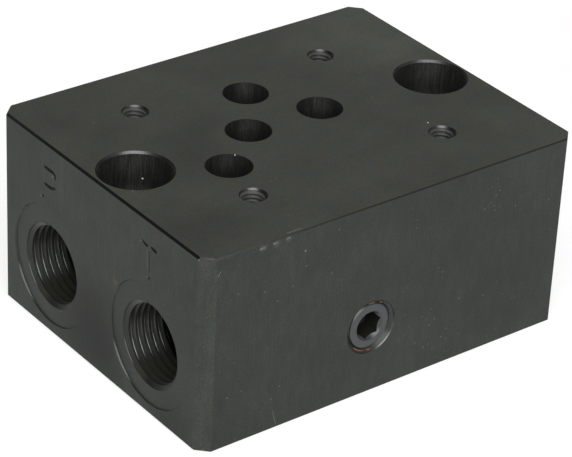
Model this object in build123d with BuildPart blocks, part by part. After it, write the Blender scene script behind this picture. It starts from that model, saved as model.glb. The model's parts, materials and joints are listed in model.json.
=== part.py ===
from build123d import *
from math import radians, tan
import os

# Sizes are in millimetres. X runs along the block, Y towards its back and Z up.
# The origin is the middle of the bottom face.

# The block
length = 105
width = 82
height = 49.5
corner_chamfer = 3
edge_break = 0.5

# Tapped holes for the valve's bolts, in the top face
bolt_spacing_x = 54
bolt_spacing_y = 46
bolt_thread_diameter = 6
bolt_mouth_diameter = 6.5
bolt_thread_depth = 14
bolt_drill_diameter = 5
bolt_drill_depth = 17

# Ports that the valve covers, measured along and across from the back left bolt
face_port_diameter = 11
pressure_along = 27
pressure_across = 6.3
work_a_along = 16.7
work_b_along = 37.3
work_across = 21.4
tank_along = 3.2
tank_across = 32.5

# Counterbored fixing holes, right through the block on its long centre line
fixing_inset = 10
fixing_diameter = 11
counterbore_diameter = 17
counterbore_depth = 11
fixing_edge_break = 0.5
edge_break_angle = 90

# Tapped pipe ports, two in each end face
pipe_spacing = 40
pipe_front_inset = 20.4
pipe_height = 18
spot_face_diameter = 30
spot_face_depth = 0.35
pipe_thread_diameter = 20.955
pipe_mouth_diameter = 21.4
pipe_thread_depth = 16
pipe_drill_diameter = 19
pipe_drill_depth = 20

# Drillings that run on from the ports
gallery_diameter = 12
overrun = 2
drill_point_angle = 118

# Cross drillings that reach the work ports from the long faces
cross_drill_diameter = 10.5
cross_offset = 4.4
cross_height = 17.5
plug_thread_diameter = 12
plug_mouth_diameter = 13.6
plug_thread_depth = 14

# Screwed plugs that close the cross drillings
plug_length = 10
plug_recess = 0.5
plug_clearance = 0.03
plug_chamfer = 0.2
socket_width = 6
socket_depth = 5
socket_mouth_diameter = 7.2
socket_mouth_angle = 45
socket_turn = 15.7

# Places that follow from the sizes
bolt_left = -bolt_spacing_x / 2
bolt_back = bolt_spacing_y / 2
pressure_x = bolt_left + pressure_along
pressure_y = bolt_back - pressure_across
work_a_x = bolt_left + work_a_along
work_b_x = bolt_left + work_b_along
work_y = bolt_back - work_across
tank_x = bolt_left + tank_along
tank_y = bolt_back - tank_across
face_port_depth = height - pipe_height + overrun

fixing_spacing = length - 2 * fixing_inset
fixing_radius = fixing_diameter / 2
counterbore_radius = counterbore_diameter / 2

left_end = -length / 2
right_end = length / 2
front_face = -width / 2
back_face = width / 2
pipe_front_y = front_face + pipe_front_inset
pipe_back_y = pipe_front_y + pipe_spacing
cross_a_x = work_a_x + cross_offset
cross_b_x = work_b_x + cross_offset
cross_a_depth = work_y - front_face + overrun
cross_b_depth = back_face - work_y + overrun


def top_mouth(x, y):
    """The plane of a hole's mouth in the top face."""
    return Plane(origin=(x, y, height))


def left_mouth(y, z):
    """The plane of a hole's mouth in the left end face."""
    return Plane(origin=(left_end, y, z), x_dir=(0, -1, 0), z_dir=(-1, 0, 0))


def right_mouth(y, z):
    """The plane of a hole's mouth in the right end face."""
    return Plane(origin=(right_end, y, z), x_dir=(0, 1, 0), z_dir=(1, 0, 0))


def front_mouth(x, z):
    """The plane of a hole's mouth in the front face."""
    return Plane(origin=(x, front_face, z), x_dir=(1, 0, 0), z_dir=(0, -1, 0))


def back_mouth(x, z):
    """The plane of a hole's mouth in the back face."""
    return Plane(origin=(x, back_face, z), x_dir=(-1, 0, 0), z_dir=(0, 1, 0))


def cut_bore(mouth, *steps):
    """Cut a round hole whose wall runs through steps of diameter and depth, with a drill point."""
    last_diameter, last_depth = steps[-1]
    point_depth = last_depth + last_diameter / 2 / tan(radians(drill_point_angle / 2))
    wall = [(diameter / 2, -depth) for diameter, depth in steps]
    with BuildSketch(Plane(origin=mouth.origin, x_dir=mouth.x_dir, z_dir=-mouth.y_dir)) as half_section:
        with BuildLine():
            Polyline((0, 0), *wall, (0, -point_depth), close=True)
        make_face()
    revolve(half_section.sketch, axis=Axis(mouth.origin, mouth.z_dir), mode=Mode.SUBTRACT)


def cut_pipe_port(mouth, drilling_diameter, drilling_depth):
    """Cut a spot-faced, tapped pipe port and the drilling that runs on from it."""
    thread_start = spot_face_depth + (pipe_mouth_diameter - pipe_thread_diameter) / 2
    cut_bore(
        mouth,
        (spot_face_diameter, 0),
        (spot_face_diameter, spot_face_depth),
        (pipe_mouth_diameter, spot_face_depth),
        (pipe_thread_diameter, thread_start),
        (pipe_thread_diameter, pipe_thread_depth),
        (pipe_drill_diameter, pipe_thread_depth),
        (pipe_drill_diameter, pipe_drill_depth),
    )
    cut_bore(mouth, (drilling_diameter, 0), (drilling_diameter, drilling_depth))


def cut_cross_drilling(mouth, depth):
    """Cut a cross drilling with the tapped seat for its plug."""
    thread_start = (plug_mouth_diameter - plug_thread_diameter) / 2
    cut_bore(
        mouth,
        (plug_mouth_diameter, 0),
        (plug_thread_diameter, thread_start),
        (plug_thread_diameter, plug_thread_depth),
        (cross_drill_diameter, plug_thread_depth),
        (cross_drill_diameter, depth),
    )


# The block, machined from one piece of steel bar
with BuildPart() as valve_block:
    with BuildSketch():
        Rectangle(length, width)
        chamfer(vertices(), corner_chamfer)
    extrude(amount=height)
    chamfer(faces().filter_by(Axis.Z).edges(), edge_break)

    # Fixing holes, counterbored from above and drilled from below, with their mouths' edges broken
    with Locations((0, 0, height)):
        with GridLocations(fixing_spacing, 0, 2, 1):
            CounterSinkHole(
                counterbore_radius, counterbore_radius + fixing_edge_break, counterbore_depth, edge_break_angle
            )
    with Locations(Plane.XY.rotated((180, 0, 0))):
        with GridLocations(fixing_spacing, 0, 2, 1):
            CounterSinkHole(fixing_radius, fixing_radius + fixing_edge_break, height, edge_break_angle)

    # Tapped holes for the valve's bolts
    bolt_thread_start = (bolt_mouth_diameter - bolt_thread_diameter) / 2
    for place in GridLocations(bolt_spacing_x, bolt_spacing_y, 2, 2).locations:
        cut_bore(
            top_mouth(place.position.X, place.position.Y),
            (bolt_mouth_diameter, 0),
            (bolt_thread_diameter, bolt_thread_start),
            (bolt_thread_diameter, bolt_thread_depth),
            (bolt_drill_diameter, bolt_thread_depth),
            (bolt_drill_diameter, bolt_drill_depth),
        )

    # Pressure: a port at the left end, drilled on to the pressure port under the valve
    cut_pipe_port(left_mouth(pipe_back_y, pipe_height), gallery_diameter, pressure_x - left_end + overrun)

    # Tank: a wide drilling from the left end, which breaks into the tank port's side
    cut_pipe_port(left_mouth(pipe_front_y, pipe_height), pipe_drill_diameter, tank_x - left_end + overrun)

    # Work port A: a port at the right end, and a cross drilling from the front face
    cut_pipe_port(right_mouth(pipe_front_y, pipe_height), gallery_diameter, right_end - cross_a_x + overrun)
    cut_cross_drilling(front_mouth(cross_a_x, cross_height), cross_a_depth)

    # Work port B: a port at the right end, and a cross drilling from the back face
    cut_pipe_port(right_mouth(pipe_back_y, pipe_height), gallery_diameter, right_end - cross_b_x + overrun)
    cut_cross_drilling(back_mouth(cross_b_x, cross_height), cross_b_depth)

    # The four ports that the valve covers
    face_ports = [(pressure_x, pressure_y), (work_a_x, work_y), (work_b_x, work_y), (tank_x, tank_y)]
    for port_x, port_y in face_ports:
        cut_bore(top_mouth(port_x, port_y), (face_port_diameter, 0), (face_port_diameter, face_port_depth))

valve_block.part.label = "valve_block"


def make_plug(mouth):
    """A headless screwed plug with a hexagon socket, set a little below its hole's mouth."""
    outer_end = mouth.offset(-plug_recess)
    socket_chamfer_depth = (socket_mouth_diameter - socket_width) / 2
    with BuildPart() as plug:
        with BuildSketch(outer_end):
            Circle(plug_thread_diameter / 2 - plug_clearance)
        extrude(amount=-plug_length)
        chamfer(edges().filter_by(GeomType.CIRCLE), plug_chamfer)
        with BuildSketch(outer_end):
            RegularPolygon(socket_width / 2, 6, major_radius=False, rotation=socket_turn)
        extrude(amount=-socket_depth, mode=Mode.SUBTRACT)
        with BuildSketch(outer_end):
            Circle(socket_mouth_diameter / 2)
        extrude(amount=-socket_chamfer_depth, taper=socket_mouth_angle, mode=Mode.SUBTRACT)
    return plug


front_plug = make_plug(front_mouth(cross_a_x, cross_height))
front_plug.part.label = "front_plug"

back_plug = make_plug(back_mouth(cross_b_x, cross_height))
back_plug.part.label = "back_plug"

os.makedirs("parts", exist_ok=True)
export_step(valve_block.part, "parts/valve_block.step")
export_step(front_plug.part, "parts/front_plug.step")
export_step(back_plug.part, "parts/back_plug.step")
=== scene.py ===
"""Looks of a black steel valve subplate: the drilled and tapped block, its two plugs and their sealant."""
import json
import math
import random

import bmesh
import bpy
from mathutils import Matrix, Vector


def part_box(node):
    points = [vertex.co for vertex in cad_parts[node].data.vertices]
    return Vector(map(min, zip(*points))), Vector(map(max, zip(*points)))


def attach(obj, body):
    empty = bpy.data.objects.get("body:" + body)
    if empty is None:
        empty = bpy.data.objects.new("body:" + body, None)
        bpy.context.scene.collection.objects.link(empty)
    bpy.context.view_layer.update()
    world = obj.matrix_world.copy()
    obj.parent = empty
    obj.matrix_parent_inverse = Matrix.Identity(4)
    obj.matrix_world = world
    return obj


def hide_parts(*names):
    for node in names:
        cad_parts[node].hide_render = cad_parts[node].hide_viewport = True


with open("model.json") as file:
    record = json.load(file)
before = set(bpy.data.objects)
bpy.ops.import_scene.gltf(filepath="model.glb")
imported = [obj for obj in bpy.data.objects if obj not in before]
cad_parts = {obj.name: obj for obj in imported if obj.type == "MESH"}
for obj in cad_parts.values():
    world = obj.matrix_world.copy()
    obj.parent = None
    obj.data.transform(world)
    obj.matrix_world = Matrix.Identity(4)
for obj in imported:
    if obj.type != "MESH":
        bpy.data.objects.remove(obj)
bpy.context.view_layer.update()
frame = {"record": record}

# Lengths are in millimetres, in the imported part's frame, until a mesh is finished. Angles are in degrees.
MM = 0.001
LOW, HIGH = (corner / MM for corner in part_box("valve_block"))
MOUNTS = {mount["name"]: mount for mount in frame["record"]["mounts"]}

# The block
CORNER_CHAMFER = 3.0
EDGE_BREAK = 0.5
SIDE_EDGE_BREAK = 0.3
DRILL_POINT_ANGLE = 118.0

# How far cutters start outside the metal, and how much narrower one is than the hole that it ends in
OUTSIDE = 1.0
SLIP = 0.1
FINE_SLIP = 0.01

# Points around the circles of wide holes, drillings, small holes, bolt threads and the plugs' sockets
WIDE_CIRCLE = 128
CIRCLE = 96
SMALL_CIRCLE = 64
BOLT_CIRCLE = 40
SOCKET_CIRCLE = 48

# Where a thread's rounded crest has its points, as shares of the bend, and the rows of points in one pitch
THREAD_BENDS = (-1, -0.5, 0, 0.5, 1)
PROFILE_ROWS = 2 * len(THREAD_BENDS)

# The gaps that are closed where a thread's rows meet, and the slivers that are taken out of a cut mesh
WELD = 1e-5
SLIVER = 0.0002

# An edge is sharp above the first angle, or above the second beside a face whose normal is along an axis
SHARP_ANGLE = 32
FLAT_SHARP_ANGLE = 6
FLAT_NORMAL = 0.99999

# Fixing holes
COUNTERBORE_RADIUS = 8.5
COUNTERBORE_DEPTH = 11.0

# Pipe ports
SPOT_FACE_RADIUS = 15.0
SPOT_FACE_DEPTH = 0.35
SPOT_RIM_BREAK = 0.2
PIPE_MOUTH_RADIUS = 10.7
PIPE_MOUTH_SPREAD = 1.6
PIPE_DRILL_RADIUS = 9.5
PIPE_DRILL_DEPTH = 20.0
PIPE_THREAD = {"pitch": 1.814, "crest": 9.3155, "root": 10.4775, "depth": 16.0, "flank": 27.5}
GALLERY_RADIUS = 6.0
OVERRUN = 2.0

# Tapped holes for the valve's bolts
BOLT_MOUTH_RADIUS = 3.25
BOLT_DRILL_RADIUS = 2.5
BOLT_DRILL_DEPTH = 17.0
BOLT_THREAD = {"pitch": 1.0, "crest": 2.46, "root": 3.0, "depth": 14.0, "flank": 30.0}

# Cross drillings and their plugs
CROSS_RADIUS = 5.25
CROSS_OFFSET = 4.4
CROSS_HEIGHT = 17.5
PLUG_MOUTH_RADIUS = 6.8
PLUG_RIM_BREAK = 0.22
PLUG_THREAD = {"pitch": 1.5, "crest": 5.19, "root": 6.0, "depth": 14.0, "flank": 30.0}
PLUG_RECESS = 0.5
PLUG_LENGTH = 10.0
PLUG_CLEARANCE = 0.04
PLUG_CHAMFER = 0.45
SOCKET_WIDTH = 6.0
SOCKET_DEPTH = 5.0
SOCKET_MOUTH_RADIUS = 3.75
SOCKET_MOUTH_REACH = 1.5
SOCKET_POINT_DEPTH = 6.6
SOCKET_TURN = 15.7

# Copper-coloured sealant squeezed out around the front plug: beads along arcs around its mouth
SEALANT_ARCS = ((59, 69), (80, 98), (222, 255), (263, 275))
SEALANT_RADIUS = 6.17
SEALANT_DEPTH = 0.4
SEALANT_THICKNESS = 0.16
SEALANT_STEP = 1.5
SEALANT_SIDES = 8
SEALANT_LUMPS = (0.8, 1.15)
SEALANT_DRIFT = 0.03
SEALANT_SEED = 12
SEALANT_SHARP_ANGLE = 60

# Grooves are points of across, up and depth on a face, and run out where a depth is below zero. Their cutters
# stand this far out of the face, and a groove's sides lean out by its spread for each millimetre of depth.
GROOVE_LIFT = 0.15

# Letters stamped in the left end face, with deep strokes in a colour darkened as painted shade, faint
# strokes, and bright strokes that are a painted highlight beside the T's stem
DEEP_STROKES = (
    (
        (-22.2, 43.7, -0.1), (-21.7, 43.25, 0.3), (-19.9, 43.2, 0.34), (-18.0, 43.22, 0.32),
        (-17.4, 42.8, 0.3), (-17.3, 42.0, 0.26), (-17.3, 41.4, -0.1),
    ),
    (
        (-22.2, 39.0, -0.1), (-21.7, 38.9, 0.3), (-19.5, 38.8, 0.36), (-18.0, 39.1, 0.36),
        (-17.3, 39.5, 0.26), (-17.0, 39.8, -0.1),
    ),
    ((-22.43, 35.9, -0.1), (-22.4, 35.6, 0.26), (-22.35, 35.1, 0.26), (-22.33, 34.8, -0.1)),
    (
        (17.2, 43.9, -0.1), (17.6, 43.5, 0.2), (18.1, 43.2, 0.26), (18.8, 43.05, 0.32),
        (19.5, 43.1, 0.3), (19.8, 43.1, -0.1),
    ),
    ((20.4, 43.4, -0.1), (20.9, 43.3, 0.24), (21.6, 43.15, 0.34), (22.7, 43.0, 0.34), (23.2, 43.0, -0.1)),
    ((20.13, 35.8, -0.1), (20.15, 35.5, 0.26), (20.25, 35.0, 0.26), (20.3, 34.7, -0.1)),
    ((20.15, 42.4, -0.1), (20.17, 42.0, 0.09), (20.24, 39.3, 0.11), (20.3, 36.9, 0.08), (20.32, 36.5, -0.1)),
)
LETTER_SPREAD = 1.25
FAINT_STROKES = (
    ((-22.0, 43.0, -0.1), (-22.1, 42.6, 0.03), (-22.35, 36.6, 0.03), (-22.4, 36.2, -0.1)),
    ((-17.35, 41.6, -0.1), (-17.4, 41.1, 0.07), (-17.5, 40.3, 0.06), (-17.7, 39.9, -0.1)),
)
FAINT_SPREAD = 5.0
HIGHLIGHT_STROKES = (
    ((19.3, 42.3, -0.1), (19.32, 42.0, 0.06), (19.4, 39.3, 0.08), (19.45, 37.0, 0.05), (19.47, 36.6, -0.1)),
)

# Scratches on the front face, and a shallow light line on the top face beside its front edge, as grooves
SCRATCHES = (
    (
        (-32.95, 5.1, -0.1), (-32.85, 4.7, 0.06), (-32.5, 3.3, 0.09), (-32.2, 2.1, 0.08),
        (-31.75, 0.9, 0.05), (-31.7, 0.6, -0.1),
    ),
    ((-49.5, 44.9, -0.1), (-49.3, 45.2, 0.07), (-48.6, 46.2, 0.07), (-48.4, 46.5, -0.1)),
)
TOP_LIGHT_LINE = (
    (-31.0, -40.15, -0.05), (-30.6, -40.16, 0.03), (-29.2, -40.17, 0.025), (-28.2, -40.13, 0.03),
    (-26.6, -40.08, 0.022), (-26.1, -40.05, -0.05),
)

# Chips as a place, half sizes and a seed
CHIPS = (
    ((-37.8, -41.0, 48.4), (0.95, 0.16, 0.34), 1),
    ((-34.4, -41.0, 48.6), (0.8, 0.14, 0.28), 2),
    ((-30.85, -41.0, 48.75), (0.65, 0.14, 0.25), 3),
    ((-26.0, -41.0, 44.0), (0.32, 0.15, 0.36), 4),
    ((-51.2, -39.55, 49.35), (0.3, 0.25, 0.2), 6),
    ((-52.4, -38.2, 48.9), (0.25, 0.25, 0.36), 7),
    ((-50.9, -39.9, 0.5), (0.4, 0.4, 0.3), 9),
    ((-52.5, 23.25, 35.05), (0.16, 0.3, 0.34), 10),
    ((-52.5, 18.35, 42.1), (0.14, 0.28, 0.5), 11),
    ((-52.5, -16.95, 43.05), (0.14, 0.26, 0.3), 12),
    ((-52.5, -19.45, 35.15), (0.16, 0.28, 0.34), 13),
    ((-48.0, -7.2, 49.5), (0.45, 0.35, 0.1), 15),
)

# Nicks that catch the light: in the left counterbore's wall, at the tank port's rim and beside a bolt hole
GLINTS = (
    ((-36.44, 5.96, 42.73), (0.26, 0.26, 0.32), 14),
    ((-19.65, -6.05, 49.35), (0.24, 0.24, 0.26), 16),
    ((27.1, -17.65, 49.5), (0.26, 0.26, 0.12), 17),
)

# How far the points of a chip lie from its middle, as shares of its half sizes
CHIP_REACH = (0.7, 1.1)

# Small bright pits on the front face along and up, on the top face along and across, and on the left end
FRONT_PITS = (
    (-43.7, 39.05), (-36.55, 37.15), (-32.9, 33.6), (-28.95, 36.1), (27.6, 14.65),
    (20.1, 16.35), (25.65, 38.3), (-45.7, 13.05), (-41.9, 13.5), (-31.4, 10.95),
    (-33.5, 8.25), (-17.0, 46.5), (-25.5, 40.05),
)
TOP_PITS = (
    (-18.25, -19.55), (-20.0, -20.05), (15.45, -14.45), (-36.2, -21.75),
    (14.25, -18.8), (47.65, 17.9), (45.85, 20.35), (-45.2, -10.3),
)
END_PITS = ((-6.6, 28.4),)
PIT_SIZE = 0.21
PIT_DEPTH = 0.08
FIRST_PIT_SEED = 100

# Patches in a face's tone: a place, the radii where it starts to fade and ends, and how much darker it is,
# or lighter where that is below zero. The front face's last three lie around its nicks.
END_PATCHES = (
    ((-52.5, 3.0, 10.5), 3.0, 19.0, 0.62),
    ((-52.5, -6.0, 3.0), 1.0, 11.0, 0.25),
    ((-52.5, -30.0, 2.0), 1.0, 11.0, 0.35),
    ((-52.5, 28.0, 40.0), 2.0, 16.0, 0.1),
)
FRONT_PATCHES = (
    ((31.0, -41.0, 22.0), 4.0, 26.0, 0.14),
    ((14.0, -41.0, 42.0), 4.0, 18.0, 0.1),
    ((-36.0, -41.0, 42.0), 4.0, 20.0, -0.06),
    ((-37.5, -41.0, 48.6), 0.4, 1.4, -0.9),
    ((-34.0, -41.0, 48.4), 0.4, 1.4, -0.8),
    ((-30.8, -41.0, 48.6), 0.3, 1.1, -0.8),
)
TOP_PATCHES = (
    ((46.0, 27.0, 49.5), 4.0, 36.0, -0.4),
    ((-14.0, 36.0, 49.5), 2.0, 22.0, -0.14),
    ((49.0, -32.0, 49.5), 2.0, 20.0, -0.16),
    ((-27.0, 1.0, 49.5), 2.0, 15.0, 0.14),
    ((-46.0, -28.0, 49.5), 2.0, 16.0, 0.16),
)

# A reddish stain on the left end, and where two passes of the mill overlap on the ends
STAIN_PLACE = (-52.5, -7.2, 27.5)
OVERLAP_Y = 14.5

# Where the edges along the sides are rubbed, near the front left corner and at it, and the azimuth and
# elevation that the holes' rims face where their highlight is painted
RUBBED_EDGE_PLACE = (-42.0, LOW.y, HIGH.z)
RUBBED_CORNER_PLACE = (-51.2, -39.2, HIGH.z)
HIGHLIGHT_RIM_ANGLES = (-25, 34)

# The radius of the face mill's arcs, the spacing of each kind of cutter's lines, and the slant of the streaks
# on the top and bottom
MILL_RADIUS = 63.0
END_FEED = 1.4
LONG_FEED = 1.0
CORNER_FEED = 0.7
MOUTH_FEED = 0.5
SPOT_FACE_FEED = 0.4
STREAK_SLANT = -15.0

# Colours, as linear values. The top, side, end and corner colours differ as painted light and shade,
# each set to how brightly its face is lit.
TOP_AS_LIT_COLOUR = (0.048, 0.0501, 0.042)
SIDE_AS_LIT_COLOUR = (0.0302, 0.0336, 0.0299)
END_AS_LIT_COLOUR = (0.0379, 0.0433, 0.0379)
CORNER_AS_LIT_COLOUR = (0.045, 0.049, 0.044)
# The edge colours are near black as painted shade, for the dark surroundings that the broken edges mirror
EDGE_SHADE_COLOUR = (0.004, 0.004, 0.004)
SIDE_EDGE_SHADE_COLOUR = (0.018, 0.017, 0.013)
# The letters' colour is painted shade in the stamped strokes
LETTER_SHADE_COLOUR = (0.012, 0.012, 0.0115)
# The rims' near-black colour is painted shade; their highlight is painted in their material
RIM_SHADE_COLOUR = (0.006, 0.006, 0.0055)
SPOT_RIM_COLOUR = (0.014, 0.014, 0.013)
MOUTH_COLOUR = (0.033, 0.0335, 0.0305)
OILY_COLOUR = (0.024, 0.0243, 0.0195)
SEAT_COLOUR = (0.026, 0.0265, 0.025)
BORE_COLOUR = (0.145, 0.15, 0.14)
DULL_THREAD_COLOUR = (0.021, 0.0215, 0.019)
# The bright thread colour and its shine make the threads' painted highlight
THREAD_COLOUR = (0.166, 0.174, 0.156)
THREAD_SHINE = 5.5
BOLT_THREAD_COLOUR = (0.05, 0.051, 0.047)
# Bare steel, also used for painted highlights on the pipe mouths' edges and beside the T's stem
BARE_AND_HIGHLIGHT_COLOUR = (0.13, 0.135, 0.126)
GLINT_COLOUR = (0.7, 0.7, 0.67)
SPECK_COLOUR = (0.12, 0.125, 0.12)
STAIN_COLOUR = (0.16, 0.07, 0.055)
PLUG_COLOUR = (0.0295, 0.0315, 0.033)
SOCKET_COLOUR = (0.012, 0.012, 0.01)
COPPER_COLOUR = (0.25, 0.095, 0.04)

# The camera stands where the photograph's did. Its clip distances are in metres.
CAMERA_PLACE = (-337.99, -426.63, 340.51)
CAMERA_AZIMUTH = -38.458
CAMERA_ELEVATION = 30.413
CAMERA_ROLL = 2.925
CAMERA_LENS = 168.62
CAMERA_CLIP = (0.05, 60)

# Lamps: two angles, distance, width and height in metres, brightness, and whether steel mirrors them
LAMPS = {
    "key": (-31, 40, 1.2, 1.1, 1.2, 4.0, True),
    "right": (80, 12, 1.5, 1.4, 0.9, 1.5, False),
    "behind": (200, 12, 1.5, 1.4, 0.9, 1.5, False),
}

# The world's grey, and the floor's grey, its glow towards the camera and half its width in metres
WORLD_GREY = 0.25
FLOOR_GREY = 0.4
FLOOR_GLOW = 0.7
FLOOR_REACH = 20


def direction(azimuth, elevation):
    """The unit vector that points from the block towards a camera or lamp at these angles."""
    a, e = math.radians(azimuth), math.radians(elevation)
    return Vector((math.sin(a) * math.cos(e), -math.cos(a) * math.cos(e), math.sin(e)))


def mount_place(name):
    """Where one of the record's mounts lies."""
    return Vector(MOUNTS[name]["pos_m"]) / MM


class Graph:
    """Short ways to add and join the shader nodes of one material. Places are in millimetres."""

    def __init__(self, name):
        self.material = bpy.data.materials.new(name)
        self.material.use_nodes = True
        self.tree = self.material.node_tree
        self.shader = self.tree.nodes["Principled BSDF"]
        coordinates = self.tree.nodes.new("ShaderNodeTexCoord")
        self.place = self.vector("SCALE", {0: coordinates.outputs["Object"], "Scale": 1 / MM})
        self.normal = coordinates.outputs["Normal"]

    def feed(self, source, socket):
        """Join a socket to another, or set its value."""
        if isinstance(source, bpy.types.NodeSocket):
            self.tree.links.new(source, socket)
        else:
            socket.default_value = source

    def add(self, kind, sources, **settings):
        """A new node with its settings and its inputs."""
        node = self.tree.nodes.new(kind)
        for key, value in settings.items():
            setattr(node, key, value)
        for key, source in sources.items():
            self.feed(source, node.inputs[key])
        return node

    def math(self, operation, *values):
        """One sum with numbers."""
        return self.add("ShaderNodeMath", dict(enumerate(values)), operation=operation).outputs[0]

    def vector(self, operation, sources, output="Vector"):
        """One sum with vectors."""
        return self.add("ShaderNodeVectorMath", sources, operation=operation).outputs[output]

    def product(self, first, *others):
        """Numbers multiplied with each other."""
        for other in others:
            first = self.math("MULTIPLY", first, other)
        return first

    def split(self, vector):
        """The three parts of a vector."""
        return self.add("ShaderNodeSeparateXYZ", {0: vector}).outputs

    def stretched(self, x, y, z, place=None):
        """A place with each axis multiplied, so that a pattern is drawn out along the small ones."""
        return self.vector("MULTIPLY", {0: place or self.place, 1: (x, y, z)})

    def rise(self, value, low, high, start=0.0, end=1.0):
        """Goes smoothly from start to end while the value goes from low to high."""
        sources = {"Value": value, "From Min": low, "From Max": high, "To Min": start, "To Max": end}
        return self.add("ShaderNodeMapRange", sources, interpolation_type="SMOOTHSTEP").outputs["Result"]

    def noise(self, size, detail=2.0, place=None):
        """Noise around a half, with lumps about this many millimetres apart."""
        sources = {"Vector": place or self.place, "Scale": 1 / size, "Detail": detail}
        return self.add("ShaderNodeTexNoise", sources).outputs["Fac"]

    def noise_colour(self, scale, detail):
        """Three noises around a half as one colour, at a scale per millimetre."""
        sources = {"Vector": self.place, "Scale": scale, "Detail": detail}
        return self.add("ShaderNodeTexNoise", sources).outputs["Color"]

    def swing(self, value, amount):
        """One plus or minus up to an amount, from noise around a half."""
        return self.math("MULTIPLY_ADD", value, 2 * amount, 1 - amount)

    def specks(self, spacing, radius, share):
        """Up to one on a share of scattered uneven specks, some faint, and zero elsewhere."""
        bent = self.tint(self.noise_colour(2 / radius, 1.0), radius)
        place = self.vector("ADD", {0: self.place, 1: bent})
        cells = self.add("ShaderNodeTexVoronoi", {"Vector": place, "Scale": 1 / spacing})
        near = self.rise(cells.outputs["Distance"], 0.3 * radius / spacing, radius / spacing, 1.0, 0.0)
        chosen = self.rise(self.split(cells.outputs["Color"])[0], 0.0, share, 1.0, 0.0)
        return self.product(near, chosen)

    def spot(self, place, inner, outer):
        """One inside a radius of a place, fading to zero at an outer radius."""
        away = self.vector("DISTANCE", {0: self.place, 1: place}, "Value")
        return self.rise(away, inner, outer, 1.0, 0.0)

    def facing(self, way):
        """One where the surface faces a way on the block, falling to minus one on the opposite side."""
        return self.vector("DOT_PRODUCT", {0: self.normal, 1: way}, "Value")

    def tint(self, colour, tone):
        """A colour, or another vector, multiplied by a number."""
        return self.vector("SCALE", {0: colour, "Scale": tone})

    def patched(self, colour, patches):
        """A colour made darker or lighter around places."""
        for place, inner, outer, dark in patches:
            tone = self.math("MULTIPLY_ADD", self.spot(place, inner, outer), -dark, 1.0)
            colour = self.tint(colour, tone)
        return colour

    def shimmer(self, colour, amount=0.45):
        """A colour whose red and blue drift a little from place to place, as black oxide's do."""
        red, _, blue = self.split(self.noise_colour(1.1, 3.0))
        shares = {0: self.swing(red, amount), 1: 1.0, 2: self.swing(blue, amount)}
        drift = self.add("ShaderNodeCombineXYZ", shares).outputs[0]
        return self.vector("MULTIPLY", {0: colour, 1: drift})

    def mix(self, share, first, second):
        """A colour between two colours."""
        node = self.tree.nodes.new("ShaderNodeMix")
        node.data_type = "RGBA"
        colours = [socket for socket in node.inputs if socket.type == "RGBA"]
        self.feed(share, node.inputs["Factor"])
        for source, socket in zip((first, second), colours):
            self.feed((*source, 1.0) if isinstance(source, tuple) else source, socket)
        return next(socket for socket in node.outputs if socket.type == "RGBA")

    def finish(self, colour, roughness, height, specular, metallic=0.0):
        """Join the colour, roughness and height in millimetres to the shader."""
        self.feed(colour, self.shader.inputs["Base Color"])
        self.feed(roughness, self.shader.inputs["Roughness"])
        bump = self.add("ShaderNodeBump", {"Height": height, "Distance": MM, "Strength": 1.0})
        self.feed(bump.outputs["Normal"], self.shader.inputs["Normal"])
        self.feed(specular, self.shader.inputs["Specular IOR Level"])
        self.feed(metallic, self.shader.inputs["Metallic"])
        return self.material


def end_marks(g, colour):
    """The stain on the left end, and the lighter band where two passes of the mill overlap."""
    _, y, z = g.split(g.place)
    colour = g.mix(g.product(g.spot(STAIN_PLACE, 0.1, 1.3), 0.5), colour, STAIN_COLOUR)
    overlap = g.rise(g.math("ABSOLUTE", g.math("SUBTRACT", y, OVERLAP_Y)), 0.4, 1.0, 1.0, 0.0)
    overlap = g.product(overlap, g.rise(z, 22.0, 32.0))
    return g.tint(colour, g.math("MULTIPLY_ADD", overlap, 0.1, 1.0))


def milled_side(name, along, feed, base, patches, specular):
    """Black steel with the upright arcs that a face mill leaves on an end or a long side."""
    g = Graph(name)
    x, y, z = g.split(g.place)
    up = g.math("SUBTRACT", z, HIGH.z / 2)
    bulge = g.math("SQRT", g.math("SUBTRACT", MILL_RADIUS ** 2, g.product(up, up)))
    across = {"x": x, "y": y}[along]
    turn = g.product(g.math("SUBTRACT", across, bulge), 2 * math.pi / feed)
    marks = g.math("SINE", g.math("MULTIPLY_ADD", g.noise(9), 1.5, turn))
    marks = g.product(marks, g.rise(g.noise(14, 1), 0.35, 0.65, 0.2, 1.0))
    grain = g.noise(0.5, 3)
    scuffs = g.noise(1.8, 3, g.stretched(1, 1, 0.35))
    cloud = g.noise(11, 3)
    tone = g.product(
        g.swing(grain, 0.5), g.swing(cloud, 0.26), g.swing(scuffs, 0.26),
        g.math("MULTIPLY_ADD", marks, 0.05, 1.0),
    )
    colour = g.patched(g.shimmer(g.tint(base, tone)), patches)
    if along == "y":
        colour = end_marks(g, colour)
    few = g.product(g.specks(1.3, 0.3, 0.6), g.rise(g.noise(15, 1), 0.52, 0.66, 0.12, 0.8))
    colour = g.mix(few, colour, SPECK_COLOUR)
    roughness = g.math("MULTIPLY_ADD", grain, 0.15, 0.36)
    height = g.math("MULTIPLY_ADD", grain, 0.012, g.product(marks, 0.0015))
    return g.finish(colour, roughness, height, specular)


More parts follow.
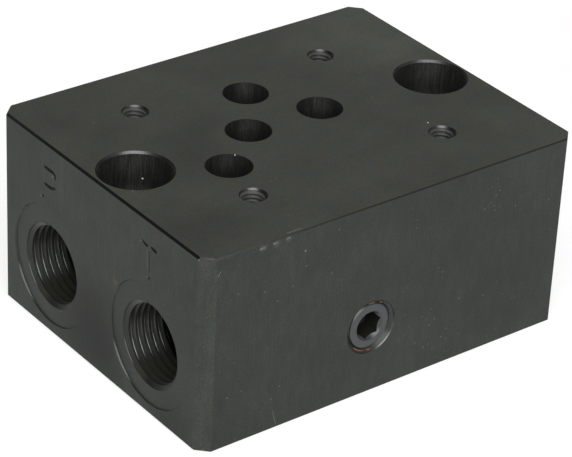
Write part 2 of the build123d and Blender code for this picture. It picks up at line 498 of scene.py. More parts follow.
def milled_top():
    """Black steel with the faint slanting streaks of the fine-milled top and bottom."""
    g = Graph("milled_top_steel")
    sources = {"Vector": g.place, "Angle": math.radians(STREAK_SLANT)}
    turned = g.add("ShaderNodeVectorRotate", sources, rotation_type="Z_AXIS").outputs[0]
    drawn = g.stretched(0.16, 1, 1, turned)
    streaks = g.noise(3.2, 3, drawn)
    fine_streaks = g.noise(0.5, 2, drawn)
    grain = g.noise(0.5, 3)
    cloud = g.noise(12, 4)
    tone = g.product(
        g.swing(streaks, 0.08), g.swing(cloud, 0.22), g.swing(grain, 0.4), g.swing(fine_streaks, 0.1),
    )
    colour = g.patched(g.shimmer(g.tint(TOP_AS_LIT_COLOUR, tone)), TOP_PATCHES)
    few = g.product(g.specks(2.0, 0.3, 0.6), g.rise(g.noise(18, 1), 0.5, 0.66, 0.1, 0.8))
    colour = g.mix(few, colour, SPECK_COLOUR)
    roughness = g.math("MULTIPLY_ADD", fine_streaks, 0.12, 0.38)
    height = g.math("MULTIPLY_ADD", grain, 0.008, g.product(fine_streaks, 0.004))
    return g.finish(colour, roughness, height, 0.22)


def worked_steel(name, colour, roughness, specular, metallic=0.0, rough_grain=0.01):
    """Steel with a grain and cloudy tone: the common base of edges, seats, chips and plugs."""
    g = Graph(name)
    grain = g.noise(0.3, 3)
    cloud = g.noise(2.8, 3)
    toned = g.tint(colour, g.product(g.swing(grain, 0.3), g.swing(cloud, 0.25)))
    rough = g.math("MULTIPLY_ADD", cloud, 0.16, roughness - 0.08)
    return g.finish(toned, rough, g.product(grain, rough_grain), specular, metallic)


def hole_rim_steel():
    """The broken rims of the holes: a painted highlight where they face the front, and painted shade
    elsewhere.
    """
    g = Graph("hole_rim_steel")
    grain = g.noise(0.3, 3)
    # Painted highlight: the specular is raised where the rim faces the lamp's highlight direction
    rubbed_and_highlit = g.rise(g.facing(direction(*HIGHLIGHT_RIM_ANGLES)), 0.7, 0.94)
    colour = g.tint(RIM_SHADE_COLOUR, g.swing(grain, 0.3))
    rough = g.math("MULTIPLY_ADD", g.noise(2.8, 3), 0.16, 0.23)
    specular = g.math("MULTIPLY_ADD", rubbed_and_highlit, 0.9, 0.25)
    return g.finish(colour, rough, g.product(grain, 0.01), specular)


def side_edge_steel():
    """The thin broken edges along the sides, dark as painted shade, rubbed to the tone of the faces near the
    front left corner.
    """
    g = Graph("side_edge_steel")
    grain = g.noise(0.3, 3)
    rubbed_and_highlit = g.spot(RUBBED_EDGE_PLACE, 9.0, 20.0)
    light = g.rise(g.noise(0.9, 4), 0.52, 0.66)
    colour = g.mix(g.product(rubbed_and_highlit, 0.22), SIDE_EDGE_SHADE_COLOUR, SIDE_AS_LIT_COLOUR)
    colour = g.mix(g.product(rubbed_and_highlit, light, 0.06), colour, SPECK_COLOUR)
    colour = g.mix(g.product(g.spot(RUBBED_CORNER_PLACE, 1.0, 2.2), 0.3), colour, SPECK_COLOUR)
    colour = g.tint(colour, g.swing(grain, 0.25))
    return g.finish(colour, g.math("MULTIPLY_ADD", grain, 0.2, 0.3), g.product(grain, 0.01), 0.3)


def bore_steel():
    """The dark, bare wall of a drilled hole, with fine lines along upright holes."""
    g = Graph("bore_steel")
    lines = g.noise(0.3, 3, g.stretched(1, 1, 0.06))
    grain = g.noise(0.4, 3)
    colour = g.tint(BORE_COLOUR, g.product(g.swing(lines, 0.5), g.swing(grain, 0.4)))
    roughness = g.math("MULTIPLY_ADD", lines, 0.2, 0.36)
    height = g.math("MULTIPLY_ADD", lines, 0.03, g.product(grain, 0.012))
    return g.finish(colour, roughness, height, 0.4, 1.0)


def above_port(g):
    """Height above the axes of the pipe ports."""
    return g.math("SUBTRACT", g.split(g.place)[2], mount_place("pipe_port_p").z)


def port_radius(g):
    """Distance from the axis of the nearest pipe port."""
    first, second = mount_place("pipe_port_p").y, mount_place("pipe_port_t").y
    middle = (first + second) / 2
    from_middle = g.math("ABSOLUTE", g.math("SUBTRACT", g.split(g.place)[1], middle))
    aside = g.math("SUBTRACT", from_middle, abs(first - middle))
    up = above_port(g)
    return g.math("SQRT", g.math("ADD", g.product(aside, aside), g.product(up, up)))


def pipe_mouth_steel():
    """The cone at a pipe port's mouth: turned lines, oily below, with painted shade above, facing back and
    facing down.

    Between the upper and the oily part its outer edge has a painted highlight on the side that faces the
    front.
    """
    g = Graph("pipe_mouth_steel")
    radius, up = port_radius(g), above_port(g)
    lines = g.math("SINE", g.product(radius, 2 * math.pi / MOUTH_FEED))
    tone = g.product(g.math("MULTIPLY_ADD", lines, 0.25, 1.0), g.swing(g.noise(0.4, 3), 0.4))
    # Painted shade on the upper part of the cone
    colour = g.tint(MOUTH_COLOUR, g.product(tone, g.rise(up, -4.0, -1.0, 1.0, 0.75)))
    colour = g.mix(g.rise(up, -9.0, -4.0, 0.9, 0.0), colour, OILY_COLOUR)
    # Painted shade where the cone faces back and where it faces down
    painted_shade_facing_back = g.rise(g.facing((0, 1, 0)), -0.2, 0.0, 1.0, 0.25)
    painted_shade_facing_down = g.rise(g.facing((0, 0, -1)), 0.1, 0.35, 1.0, 0.5)
    # A painted highlight: a thin line in bare steel's colour along the outer edge
    painted_edge_highlight = g.product(
        g.rise(up, -9.0, -7.5), g.rise(up, -5.0, -3.0, 1.0, 0.0),
        g.rise(radius, PIPE_MOUTH_RADIUS - 0.26, PIPE_MOUTH_RADIUS - 0.16),
        g.rise(g.facing((0, -1, 0)), 0.1, 0.3),
    )
    colour = g.mix(painted_edge_highlight, g.tint(colour, g.product(painted_shade_facing_back, painted_shade_facing_down)), BARE_AND_HIGHLIGHT_COLOUR)
    return g.finish(colour, 0.45, g.product(lines, 0.004), 0.22)


def pipe_thread_steel():
    """The pipe threads: a band rubbed by fittings and brightened as a painted highlight, dull above and at
    the mouth, oily below.

    Deep inside they are darkened to black as painted shade.
    """
    g = Graph("pipe_thread_steel")
    up = above_port(g)
    depth = g.math("SUBTRACT", HIGH.x, g.math("ABSOLUTE", g.split(g.place)[0]))
    grain = g.noise(0.3, 3)
    # The bright band is partly wear and partly a painted highlight, placed where the lamp's highlight falls
    # on the crests
    rubbed_and_highlit = g.product(g.rise(up, -8.6, -6.2), g.rise(up, -3.0, 2.0, 1.0, 0.0), g.rise(depth, 1.1, 1.5))
    # Painted shade: darker with depth inside the hole
    reach = g.rise(depth, 9.0, 11.0, 1.0, 0.06)
    dull = g.mix(g.rise(up, -9.5, -5.0), OILY_COLOUR, DULL_THREAD_COLOUR)
    colour = g.tint(g.mix(rubbed_and_highlit, dull, THREAD_COLOUR), g.product(reach, g.swing(grain, 0.4)))
    shine = g.product(rubbed_and_highlit, THREAD_SHINE)
    metallic = g.math("DIVIDE", shine, g.math("ADD", shine, 1.0))
    specular = g.product(reach, g.rise(up, -9.0, -4.0, 0.05, 0.3))
    return g.finish(colour, 0.3, g.product(grain, 0.01), specular, metallic)


def turned_steel():
    """The spot faces: rings of a facing cutter around each pipe port's axis."""
    g = Graph("turned_steel")
    rings = g.math("SINE", g.product(port_radius(g), 2 * math.pi / SPOT_FACE_FEED))
    grain = g.noise(0.5, 3)
    ring_tone = g.math("MULTIPLY_ADD", rings, 0.03, 1.0)
    tone = g.product(g.swing(grain, 0.45), g.swing(g.noise(9, 3), 0.2), ring_tone)
    colour = g.patched(g.shimmer(g.tint(END_AS_LIT_COLOUR, tone)), END_PATCHES)
    colour = g.mix(g.product(g.specks(2.0, 0.28, 0.7), 0.7), colour, SPECK_COLOUR)
    height = g.math("MULTIPLY_ADD", grain, 0.008, g.product(rings, 0.001))
    return g.finish(colour, g.math("MULTIPLY_ADD", grain, 0.14, 0.34), height, 0.12)


def copper_sealant():
    """The copper-coloured sealant that a plug was screwed in with."""
    g = Graph("copper_sealant")
    lumps = g.noise(0.4, 3)
    colour = g.tint(COPPER_COLOUR, g.swing(lumps, 0.5))
    roughness = g.math("MULTIPLY_ADD", lumps, 0.3, 0.3)
    return g.finish(colour, roughness, g.product(lumps, 0.06), 0.5, 0.3)


def mesh_from(bm, name, materials):
    """A Blender object that holds the bmesh as it is."""
    bmesh.ops.recalc_face_normals(bm, faces=bm.faces)
    mesh = bpy.data.meshes.new(name)
    bm.to_mesh(mesh)
    bm.free()
    for material in materials:
        mesh.materials.append(material)
    obj = bpy.data.objects.new(name, mesh)
    bpy.context.scene.collection.objects.link(obj)
    return obj


def middle_of(ring):
    """The middle of a ring of points."""
    return sum((Vector(point) for point in ring), Vector()) / len(ring)


def closed_rings(rings, last_pole=None, lead=0):
    """A closed bmesh through rings of points, with a fan to a pole at each end.

    With a lead, each ring runs on into the one that lies so many rows before it, as a thread does.
    """
    bm = bmesh.new()
    rows = [[bm.verts.new(point) for point in ring] for ring in rings]
    count = len(rows[0])
    for row in range(len(rows) - 1):
        upper = rows[row] + [rows[max(row - lead, 0)][0]]
        lower = rows[row + 1] + [rows[max(row + 1 - lead, 0)][0]]
        for i in range(count):
            corners = [upper[i], lower[i], lower[i + 1]]
            if upper[i + 1] is not lower[i + 1]:
                corners.append(upper[i + 1])
            bm.faces.new(corners)
    for row, place in ((rows[0], middle_of(rings[0])), (rows[-1], last_pole or middle_of(rings[-1]))):
        pole = bm.verts.new(place)
        for i in range(count):
            bm.faces.new((row[i], row[(i + 1) % count], pole))
    if lead:
        bmesh.ops.remove_doubles(bm, verts=bm.verts, dist=WELD)
    return bm


def thread_profile(thread):
    """One pitch of a thread with rounded crest and root: shares of the pitch and heights above the crest."""
    pitch, flank = thread["pitch"], math.radians(thread["flank"])
    height = (thread["root"] - thread["crest"]) / pitch
    rounding = (0.5 / math.tan(flank) - height) / (2 / math.sin(flank) - 2)
    bends = [math.radians(90 - thread["flank"]) * share for share in THREAD_BENDS]
    crest = [(0.25 + rounding * math.sin(bend), rounding * (1 - math.cos(bend)) * pitch) for bend in bends]
    root = [(share + 0.5, height * pitch - rise) for share, rise in crest]
    return crest + root


def thread_radius(thread, turn, depth):
    """Radius of a tapped wall at a share of a turn and a depth below the mouth."""
    along = (depth / thread["pitch"] + turn) % 1
    points = thread_profile(thread)
    points = [(points[-1][0] - 1, points[-1][1])] + points + [(points[0][0] + 1, points[0][1])]
    for (start, low), (end, high) in zip(points, points[1:]):
        if along <= end:
            return thread["crest"] + low + (high - low) * (along - start) / (end - start)
    return thread["crest"] + points[-1][1]


def threaded_rings(thread, top, bottom, segments, radius_at):
    """Rings that climb by one pitch in each turn, but lie flat where they reach the top and bottom."""
    pitch = thread["pitch"]
    turns = range(math.floor(top / pitch) - 1, math.ceil(bottom / pitch) + 2)
    rings = []
    for number in turns:
        for share, _ in thread_profile(thread):
            depths = [(number + share - i / segments) * pitch for i in range(segments)]
            depths = [min(max(depth, top), bottom) for depth in depths]
            rings.append([(radius_at(i / segments, depth), depth) for i, depth in enumerate(depths)])
    return rings


def plain_rings(steps, segments):
    """Rings of a plain bore through steps of radius and depth."""
    return [[(radius, depth)] * segments for radius, depth in steps]


def drill_point(radius, depth):
    """Depth of the tip that a drill leaves below a hole."""
    return depth + radius / math.tan(math.radians(DRILL_POINT_ANGLE / 2))


def bore_mesh(rings, tip_depth, turn=0.0, lead=0):
    """A closed bmesh whose rings of radius and depth lie below a mouth at the origin."""
    segments = len(rings[0])
    angles = [turn + 2 * math.pi * i / segments for i in range(segments)]
    spread = [
        [(radius * math.cos(a), radius * math.sin(a), -depth) for a, (radius, depth) in zip(angles, ring)]
        for ring in rings
    ]
    return closed_rings(spread, (0, 0, -tip_depth), lead)


def bore_cutter(mouth, rings, tip_depth, material, turn=0.0, lead=0):
    """A closed cutter for a round hole below a mouth."""
    bm = bore_mesh(rings, tip_depth, turn, lead)
    bmesh.ops.transform(bm, matrix=mouth, verts=bm.verts)
    return mesh_from(bm, "cutter", [material])


def mouth_at(place, outward, across):
    """The matrix that stands a hole's mouth at a place, with Z out of the block."""
    outward = Vector(outward)
    across = Vector(across)
    matrix = Matrix((across, outward.cross(across), outward)).transposed().to_4x4()
    matrix.translation = Vector(place)
    return matrix


def top_mouth(x, y):
    """A mouth in the top face."""
    return mouth_at((x, y, HIGH.z), (0, 0, 1), (1, 0, 0))


def end_mouth(side, y, z):
    """A mouth in the left end for side -1, or in the right end for side 1."""
    return mouth_at((side * HIGH.x, y, z), (side, 0, 0), (0, side, 0))


def long_mouth(side, x, z):
    """A mouth in the front face for side -1, or in the back face for side 1."""
    return mouth_at((x, side * HIGH.y, z), (0, side, 0), (-side, 0, 0))


def drilling_cutter(mouth, radius, depth, segments=CIRCLE):
    """One plain drilling with its drill point."""
    rings = plain_rings(((radius, -OUTSIDE), (radius, 0), (radius, depth)), segments)
    return bore_cutter(mouth, rings, drill_point(radius, depth), BORE_STEEL)


def cone_cutter(mouth, radius, depth, material, reach=2.0, segments=WIDE_CIRCLE, spread=1.0):
    """A cone that breaks an edge: this wide at a depth, and narrower by its spread for each millimetre."""
    rings = ((radius + spread * OUTSIDE, depth - OUTSIDE), (radius - spread * reach, depth + reach))
    return bore_cutter(mouth, plain_rings(rings, segments), depth + reach, material)


def tapped_cutter(mouth, thread, top, drill_radius, segments, material):
    """The thread of a tapped hole, which runs out to the drilled hole in its last turn."""

    def radius_at(turn, depth):
        standing = min(max((thread["depth"] - depth) / thread["pitch"], 0), 1)
        return drill_radius + max(thread_radius(thread, turn, depth) - drill_radius, 0) * standing

    rings = threaded_rings(thread, top - OUTSIDE, thread["depth"], segments, radius_at)
    tip = drill_point(drill_radius, thread["depth"])
    return bore_cutter(mouth, rings, tip, material, lead=PROFILE_ROWS)


def spot_face_cutters(mouth):
    """A pipe port's shallow spot face and its broken rim."""
    radius, depth = SPOT_FACE_RADIUS - FINE_SLIP, SPOT_FACE_DEPTH
    floor = plain_rings(((radius, -OUTSIDE), (radius, depth)), WIDE_CIRCLE)
    rim_radius, rim_spread = SPOT_FACE_RADIUS + SPOT_RIM_BREAK, SPOT_RIM_BREAK / depth
    return [
        cone_cutter(mouth, rim_radius, 0, SPOT_RIM_STEEL, depth - FINE_SLIP, spread=rim_spread),
        bore_cutter(mouth, floor, depth, TURNED_STEEL),
    ]


def pipe_port_cutters(name, side, gallery_radius, gallery_depth):
    """The spot face, tapped mouth and drillings of one pipe port."""
    place = mount_place(name)
    mouth = end_mouth(side, place.y, place.z)
    return spot_face_cutters(mouth) + [
        cone_cutter(mouth, PIPE_MOUTH_RADIUS, SPOT_FACE_DEPTH, MOUTH_STEEL, spread=PIPE_MOUTH_SPREAD),
        tapped_cutter(mouth, PIPE_THREAD, SPOT_FACE_DEPTH, PIPE_DRILL_RADIUS, CIRCLE, THREAD_STEEL),
        drilling_cutter(mouth, PIPE_DRILL_RADIUS - SLIP, PIPE_DRILL_DEPTH),
        drilling_cutter(mouth, gallery_radius, gallery_depth),
    ]


def work_port_cutters(name, work):
    """The pipe port of a work port, whose gallery reaches the work port's cross drilling."""
    return pipe_port_cutters(name, 1, GALLERY_RADIUS, HIGH.x - work.x - CROSS_OFFSET + OVERRUN)


def face_port_cutter(name):
    """One plain port under the valve."""
    dims = MOUNTS[name]["dims"]
    place = mount_place(name)
    return drilling_cutter(top_mouth(place.x, place.y), dims["r_mm"], dims["length_mm"])


def bolt_cutters(x, y):
    """One tapped hole for the valve's bolts."""
    mouth = top_mouth(x, y)
    return [
        cone_cutter(mouth, BOLT_MOUTH_RADIUS, 0, RIM_STEEL, segments=SMALL_CIRCLE),
        tapped_cutter(mouth, BOLT_THREAD, 0, BOLT_DRILL_RADIUS, BOLT_CIRCLE, BOLT_THREAD_STEEL),
        drilling_cutter(mouth, BOLT_DRILL_RADIUS - SLIP, BOLT_DRILL_DEPTH, SMALL_CIRCLE),
    ]


def fixing_cutters(x):
    """One counterbored fixing hole, right through the block, and the cones that break its edges."""
    radius = MOUNTS["fixing_holes"]["dims"]["hole_r_mm"]
    beyond = HIGH.z + OUTSIDE
    mouth = top_mouth(x, 0)
    hole = (
        (COUNTERBORE_RADIUS, -OUTSIDE), (COUNTERBORE_RADIUS, COUNTERBORE_DEPTH),
        (radius, COUNTERBORE_DEPTH), (radius, beyond),
    )
    lower = ((radius - OUTSIDE, HIGH.z - EDGE_BREAK - OUTSIDE), (radius + EDGE_BREAK + OUTSIDE, beyond))
    return [
        bore_cutter(mouth, plain_rings(hole, WIDE_CIRCLE), beyond, BORE_STEEL),
        cone_cutter(mouth, COUNTERBORE_RADIUS + EDGE_BREAK, 0, RIM_STEEL),
        bore_cutter(mouth, plain_rings(lower, WIDE_CIRCLE), beyond, EDGE_STEEL),
    ]


def cross_cutters(mouth, depth):
    """One cross drilling with the tapped seat of its plug."""
    return [
        cone_cutter(mouth, PLUG_MOUTH_RADIUS, 0, RIM_STEEL, PLUG_RIM_BREAK, CIRCLE),
        cone_cutter(mouth, PLUG_MOUTH_RADIUS - FINE_SLIP, 0, SEAT_STEEL, segments=CIRCLE),
        tapped_cutter(mouth, PLUG_THREAD, 0, CROSS_RADIUS, SMALL_CIRCLE, THREAD_STEEL),
        drilling_cutter(mouth, CROSS_RADIUS - SLIP, depth),
    ]


def hole_cutters(front_mouth, back_mouth):
    """Every hole of the block. The tank port's gallery carries on its pipe drilling, a slip narrower."""
    work_a, work_b = mount_place("face_port_a"), mount_place("face_port_b")
    pressure, tank = mount_place("face_port_p"), mount_place("face_port_t")
    tank_radius = PIPE_DRILL_RADIUS - 2 * SLIP
    cutters = pipe_port_cutters("pipe_port_p", -1, GALLERY_RADIUS, HIGH.x + pressure.x + OVERRUN)
    cutters += pipe_port_cutters("pipe_port_t", -1, tank_radius, HIGH.x + tank.x + OVERRUN)
    cutters += work_port_cutters("pipe_port_a", work_a)
    cutters += work_port_cutters("pipe_port_b", work_b)
    cutters += cross_cutters(front_mouth, HIGH.y + work_a.y + OVERRUN)
    cutters += cross_cutters(back_mouth, HIGH.y - work_b.y + OVERRUN)
    cutters += [face_port_cutter("face_port_" + letter) for letter in "pabt"]
    bolts = MOUNTS["valve_bolts"]["dims"]
    for across in (-0.5, 0.5):
        for along in (-0.5, 0.5):
            cutters += bolt_cutters(across * bolts["spacing_x_mm"], along * bolts["spacing_y_mm"])
    for along in (-0.5, 0.5):
        cutters += fixing_cutters(along * MOUNTS["fixing_holes"]["dims"]["spacing_x_mm"])
    return cutters


def groove_cutter(mouth, points, material, spread=1.0):
    """The cutter of a V groove on a mouth's face."""
    rings = []
    for i, (across, up, depth) in enumerate(points):
        before, after = points[max(i - 1, 0)], points[min(i + 1, len(points) - 1)]
        run = Vector((after[0] - before[0], after[1] - before[1])).normalized()
        half = spread * (depth + GROOVE_LIFT)
        rings.append([
            (across, up, -depth),
            (across - run.y * half, up + run.x * half, GROOVE_LIFT),
            (across + run.y * half, up - run.x * half, GROOVE_LIFT),
        ])
    bm = closed_rings(rings)
    bmesh.ops.transform(bm, matrix=mouth, verts=bm.verts)
    return mesh_from(bm, "cutter", [material])


def letter_cutters():
    """The strokes of the stamped letters."""
    left_end = end_mouth(-1, 0, 0)
    cutters = [groove_cutter(left_end, stroke, LETTER_SHADE_STEEL, LETTER_SPREAD) for stroke in DEEP_STROKES]
    cutters += [groove_cutter(left_end, stroke, END_STEEL, FAINT_SPREAD) for stroke in FAINT_STROKES]
    # The bright strokes are a painted highlight beside the T's stem
    cutters += [groove_cutter(left_end, stroke, BARE_AND_HIGHLIGHT_STEEL) for stroke in HIGHLIGHT_STROKES]
    return cutters


def chip_cutter(place, half_sizes, seed, fineness=2, material=None):
    """A rough lump that takes one chip or pit out of a face or an edge."""
    draw = random.Random(seed)
    bm = bmesh.new()
    bmesh.ops.create_icosphere(bm, subdivisions=fineness, radius=1)
    for vert in bm.verts:
        vert.co *= draw.uniform(*CHIP_REACH)
    bmesh.ops.scale(bm, vec=half_sizes, verts=bm.verts)
    bmesh.ops.translate(bm, vec=place, verts=bm.verts)
    return mesh_from(bm, "cutter", [material or BARE_AND_HIGHLIGHT_STEEL])


def wear_cutters():
    """The chips, pits and scratches that the photograph shows."""
    size, deep = PIT_SIZE, PIT_DEPTH
    pits = [((x, LOW.y, z), (size, deep, size)) for x, z in FRONT_PITS]
    pits += [((x, y, HIGH.z), (size, size, deep)) for x, y in TOP_PITS]
    pits += [((LOW.x, y, z), (deep, size, size)) for y, z in END_PITS]
    cutters = [chip_cutter(*chip) for chip in CHIPS]
    cutters += [chip_cutter(*glint, material=GLINT_STEEL) for glint in GLINTS]
    cutters += [chip_cutter(*pit, FIRST_PIT_SEED + number, 1) for number, pit in enumerate(pits)]
    cutters += [groove_cutter(long_mouth(-1, 0, 0), scratch, BARE_AND_HIGHLIGHT_STEEL) for scratch in SCRATCHES]
    cutters.append(groove_cutter(top_mouth(0, 0), TOP_LIGHT_LINE, BARE_AND_HIGHLIGHT_STEEL, FAINT_SPREAD))
    return cutters


def blank_rings():
    """Outlines of the bar at each height: chamfered corners, and edges broken less along its sides."""
    between = EDGE_BREAK - SIDE_EDGE_BREAK
    levels = ((0, EDGE_BREAK, SIDE_EDGE_BREAK), (SIDE_EDGE_BREAK, between, 0), (EDGE_BREAK, 0, 0))
    heights = [(LOW.z + up, *insets) for up, *insets in levels]
    heights += [(HIGH.z - up, *insets) for up, *insets in reversed(levels)]
    rings = []
    for z, end_inset, side_inset in heights:
        x, y = HIGH.x - end_inset, HIGH.y - side_inset
        reach = HIGH.x + HIGH.y - CORNER_CHAMFER - side_inset * math.sqrt(2)
        along, across = reach - y, reach - x
        rings.append([
            (along, y, z), (-along, y, z), (-x, across, z), (-x, -across, z),
            (-along, -y, z), (along, -y, z), (x, -across, z), (x, across, z),
        ])
    return rings


def blank_steel(normal):
    """The steel of a face of the bar that faces this way."""
    x, y, z = (abs(part) for part in normal)
    if z > 0.9:
        return TOP_STEEL
    if z > 0.1:
        return EDGE_STEEL if y < 0.1 else SIDE_EDGE_STEEL
    if min(x, y) > 0.1:
        return CORNER_STEEL
    return END_STEEL if x > 0.9 else LONG_STEEL


def blank():
    """The sawn and milled bar that the block is cut from."""
    bm = bmesh.new()
    rows = [[bm.verts.new(point) for point in ring] for ring in blank_rings()]
    count = len(rows[0])
    for lower, upper in zip(rows, rows[1:]):
        for i in range(count):
            j = (i + 1) % count
            bm.faces.new((lower[i], lower[j], upper[j], upper[i]))
    bm.faces.new(rows[0])
    bm.faces.new(rows[-1])
    materials = [TOP_STEEL, END_STEEL, LONG_STEEL, CORNER_STEEL, EDGE_STEEL, SIDE_EDGE_STEEL]
    body = mesh_from(bm, "valve_block_dressed", materials)
    for face in body.data.polygons:
        face.material_index = materials.index(blank_steel(face.normal))
    return body


def cut(body, cutters):
    """Cut every cutter out of the body and delete it. The new faces take the cutters' materials."""
    group = bpy.data.collections.new("cutters")
    for cutter in cutters:
        group.objects.link(cutter)
    change = body.modifiers.new("cut", "BOOLEAN")
    change.operation = "DIFFERENCE"
    change.solver = "MANIFOLD"
    change.operand_type = "COLLECTION"
    change.collection = group
    change.material_mode = "TRANSFER"
    evaluated = body.evaluated_get(bpy.context.evaluated_depsgraph_get())
    made = bpy.data.meshes.new_from_object(evaluated)
    clean = bmesh.new()
    clean.from_mesh(made)
    bmesh.ops.dissolve_degenerate(clean, dist=SLIVER, edges=clean.edges)
    clean.to_mesh(made)
    clean.free()
    body.modifiers.clear()
    old = body.data
    body.data = made
    bpy.data.meshes.remove(old)
    for cutter in cutters:
        bpy.data.objects.remove(cutter)
    bpy.data.collections.remove(group)


def finish_mesh(obj, name, sharp_angle=SHARP_ANGLE):
    """Bring a finished mesh to metres, name it and shade it smooth between its sharp edges.

    The edges of the flat faces are sharp too, also where a shallow groove or cone meets them.
    """
    obj.data.transform(Matrix.Scale(MM, 4))
    obj.name = obj.data.name = name
    obj.data.shade_smooth()
    obj.data.set_sharp_from_angle(angle=math.radians(sharp_angle))
    bm = bmesh.new()
    bm.from_mesh(obj.data)
    for edge in bm.edges:
        flat = any(max(abs(part) for part in face.normal) > FLAT_NORMAL for face in edge.link_faces)
        if flat and edge.calc_face_angle(0) > math.radians(FLAT_SHARP_ANGLE):
            edge.smooth = False
    bm.to_mesh(obj.data)
    bm.free()


def add_block(front_mouth, back_mouth):
    """The block with every hole, letter and mark of wear cut from it."""
    body = blank()
    cut(body, hole_cutters(front_mouth, back_mouth) + letter_cutters() + wear_cutters())
    finish_mesh(body, "valve_block_dressed")
    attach(body, "root")
    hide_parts("valve_block")


def plug_radius(turn, depth):
    """Radius of a plug's threaded outside, which follows its seat's thread with a little clearance."""
    down = depth - PLUG_RECESS
    chamfer = PLUG_THREAD["root"] - PLUG_CLEARANCE - PLUG_CHAMFER + min(down, PLUG_LENGTH - down)
    return min(thread_radius(PLUG_THREAD, turn, depth) - PLUG_CLEARANCE, chamfer)


def add_plug(name, node, mouth):
    """A headless threaded plug with a hexagon socket."""
    inner = PLUG_RECESS + PLUG_LENGTH
    rings = threaded_rings(PLUG_THREAD, PLUG_RECESS, inner, CIRCLE, plug_radius)
    bm = bore_mesh(rings, inner, lead=PROFILE_ROWS)
    bmesh.ops.transform(bm, matrix=mouth, verts=bm.verts)
    plug = mesh_from(bm, name, [PLUG_STEEL])
    corner = SOCKET_WIDTH / math.sqrt(3)
    floor = PLUG_RECESS + SOCKET_DEPTH
    hexagon = plain_rings(((corner, PLUG_RECESS - OUTSIDE), (corner, floor)), 6)
    drilled = plain_rings(((SOCKET_WIDTH / 2, floor - OUTSIDE), (SOCKET_WIDTH / 2, floor)), SOCKET_CIRCLE)
    cut(plug, [
        bore_cutter(mouth, hexagon, floor, SOCKET_STEEL, math.radians(SOCKET_TURN)),
        bore_cutter(mouth, drilled, SOCKET_POINT_DEPTH, SOCKET_STEEL),
        cone_cutter(mouth, SOCKET_MOUTH_RADIUS, PLUG_RECESS, PLUG_STEEL, SOCKET_MOUTH_REACH, CIRCLE),
    ])
    finish_mesh(plug, name)
    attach(plug, "root")
    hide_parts(node)


def sealant_bead(start, end, draw):
    """One bead of sealant between two angles around a mouth, thin at its ends and uneven between them."""
    steps = max(6, round((end - start) / SEALANT_STEP))
    rings = []
    for step in range(steps + 1):
        share = step / steps
        angle = math.radians(start + (end - start) * share)
        fullness = 0.25 + 0.75 * math.sin(math.pi * share) ** 0.5
        thick = SEALANT_THICKNESS * fullness * draw.uniform(*SEALANT_LUMPS)
        radius = SEALANT_RADIUS + draw.uniform(-SEALANT_DRIFT, SEALANT_DRIFT)
        ring = []
        for side in range(SEALANT_SIDES):
            around = 2 * math.pi * side / SEALANT_SIDES
            reach = radius + thick * math.cos(around)
            up = thick * math.sin(around) - SEALANT_DEPTH
            ring.append((reach * math.cos(angle), reach * math.sin(angle), up))
        rings.append(ring)
    return closed_rings(rings)


def add_sealant(mouth):
    """Beads of sealant in the groove around the front plug."""
    draw = random.Random(SEALANT_SEED)
    whole = bmesh.new()
    for start, end in SEALANT_ARCS:
        bead = sealant_bead(start, end, draw)
        mesh = bpy.data.meshes.new("bead")
        bead.to_mesh(mesh)
        bead.free()
        whole.from_mesh(mesh)
        bpy.data.meshes.remove(mesh)
    bmesh.ops.transform(whole, matrix=mouth, verts=whole.verts)
    sealant = mesh_from(whole, "front_plug_sealant", [COPPER])
    finish_mesh(sealant, "front_plug_sealant", SEALANT_SHARP_ANGLE)
    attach(sealant, "root")


def add_camera():
    """The camera, with its long side level but for a small roll."""
    camera = bpy.data.objects.new("camera", bpy.data.cameras.new("camera"))
    bpy.context.scene.collection.objects.link(camera)
    back = direction(CAMERA_AZIMUTH, CAMERA_ELEVATION)
    level = Vector((0, 0, 1)).cross(back).normalized()
    right = Matrix.Rotation(math.radians(CAMERA_ROLL), 3, back) @ level
    up = back.cross(right)
    camera.matrix_world = Matrix((right, up, back)).transposed().to_4x4()
    camera.location = Vector(CAMERA_PLACE) * MM
    camera.data.lens = CAMERA_LENS
    camera.data.clip_start, camera.data.clip_end = CAMERA_CLIP
    bpy.context.scene.camera = camera


def add_lamp(name, azimuth, elevation, distance, width, height, brightness, mirrored):
    """A soft white lamp that faces the block, with its surface's brightness given."""
    lamp = bpy.data.lights.new(name, "AREA")
    lamp.shape = "RECTANGLE"
    lamp.size = width
    lamp.size_y = height
    lamp.energy = brightness * math.pi * width * height
    obj = bpy.data.objects.new(name, lamp)
    bpy.context.scene.collection.objects.link(obj)
    towards = direction(azimuth, elevation)
    obj.location = towards * distance
    obj.rotation_mode = "QUATERNION"
    obj.rotation_quaternion = towards.to_track_quat("Z", "Y")
    obj.visible_glossy = mirrored


def floor_white():
    """A floor that glows pale towards the camera, and in mirrors and glass, and still takes a shadow."""
    g = Graph("floor_white")
    g.tree.nodes.remove(g.shader)
    path = g.add("ShaderNodeLightPath", {})
    seen = path.outputs["Is Camera Ray"]
    for kind in ("Is Glossy Ray", "Is Transmission Ray"):
        seen = g.math("MAXIMUM", seen, path.outputs[kind])
    grey = (FLOOR_GREY, FLOOR_GREY, FLOOR_GREY, 1)
    diffuse = g.add("ShaderNodeBsdfDiffuse", {"Color": grey}).outputs[0]
    glow = g.add("ShaderNodeEmission", {"Strength": g.product(seen, FLOOR_GLOW)}).outputs[0]
    both = g.add("ShaderNodeAddShader", {0: diffuse, 1: glow}).outputs[0]
    g.feed(both, g.tree.nodes["Material Output"].inputs["Surface"])
    return g.material


def add_floor():
    """The floor that the block stands on."""
    bm = bmesh.new()
    bmesh.ops.create_grid(bm, x_segments=1, y_segments=1, size=FLOOR_REACH)
    obj = mesh_from(bm, "floor", [floor_white()])


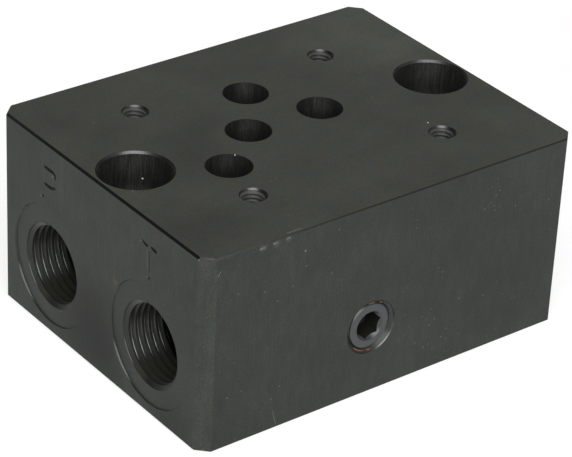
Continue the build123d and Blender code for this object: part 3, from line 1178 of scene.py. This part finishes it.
def add_world():
    """Even grey light from all round."""
    world = bpy.data.worlds.new("studio")
    bpy.context.scene.world = world
    world.use_nodes = True
    grey = (WORLD_GREY, WORLD_GREY, WORLD_GREY, 1)
    world.node_tree.nodes["Background"].inputs["Color"].default_value = grey


TOP_STEEL = milled_top()
END_STEEL = milled_side("milled_end_steel", "y", END_FEED, END_AS_LIT_COLOUR, END_PATCHES, specular=0.12)
LONG_STEEL = milled_side("milled_long_steel", "x", LONG_FEED, SIDE_AS_LIT_COLOUR, FRONT_PATCHES, specular=0.22)
CORNER_STEEL = milled_side("milled_corner_steel", "x", CORNER_FEED, CORNER_AS_LIT_COLOUR, (), specular=0.22)
EDGE_STEEL = worked_steel("edge_steel", EDGE_SHADE_COLOUR, 0.3, 0.2)
SIDE_EDGE_STEEL = side_edge_steel()
SPOT_RIM_STEEL = worked_steel("spot_rim_steel", SPOT_RIM_COLOUR, 0.26, 0.48)
LETTER_SHADE_STEEL = worked_steel("letter_shade_steel", LETTER_SHADE_COLOUR, 0.4, 0.2)
RIM_STEEL = hole_rim_steel()
MOUTH_STEEL = pipe_mouth_steel()
SEAT_STEEL = worked_steel("plug_seat_steel", SEAT_COLOUR, 0.38, 0.4)
THREAD_STEEL = pipe_thread_steel()
BOLT_THREAD_STEEL = worked_steel("bolt_thread_steel", BOLT_THREAD_COLOUR, 0.48, 0.5)
BARE_AND_HIGHLIGHT_STEEL = worked_steel("bare_and_highlight_steel", BARE_AND_HIGHLIGHT_COLOUR, 0.42, 0.35, metallic=0.2, rough_grain=0.03)
GLINT_STEEL = worked_steel("glint_steel", GLINT_COLOUR, 0.5, 0.5, metallic=1.0)
PLUG_STEEL = worked_steel("plug_steel", PLUG_COLOUR, 0.3, 0.6)
SOCKET_STEEL = worked_steel("socket_steel", SOCKET_COLOUR, 0.4, 0.3)
BORE_STEEL = bore_steel()
TURNED_STEEL = turned_steel()
COPPER = copper_sealant()

front_mouth = long_mouth(-1, mount_place("face_port_a").x + CROSS_OFFSET, CROSS_HEIGHT)
back_mouth = long_mouth(1, mount_place("face_port_b").x + CROSS_OFFSET, CROSS_HEIGHT)
add_block(front_mouth, back_mouth)
add_plug("front_plug_dressed", "front_plug", front_mouth)
add_plug("back_plug_dressed", "back_plug", back_mouth)
add_sealant(front_mouth)

add_camera()
add_floor()
for name, settings in LAMPS.items():
    add_lamp(name, *settings)
add_world()
bpy.context.scene.view_settings.view_transform = "Standard"
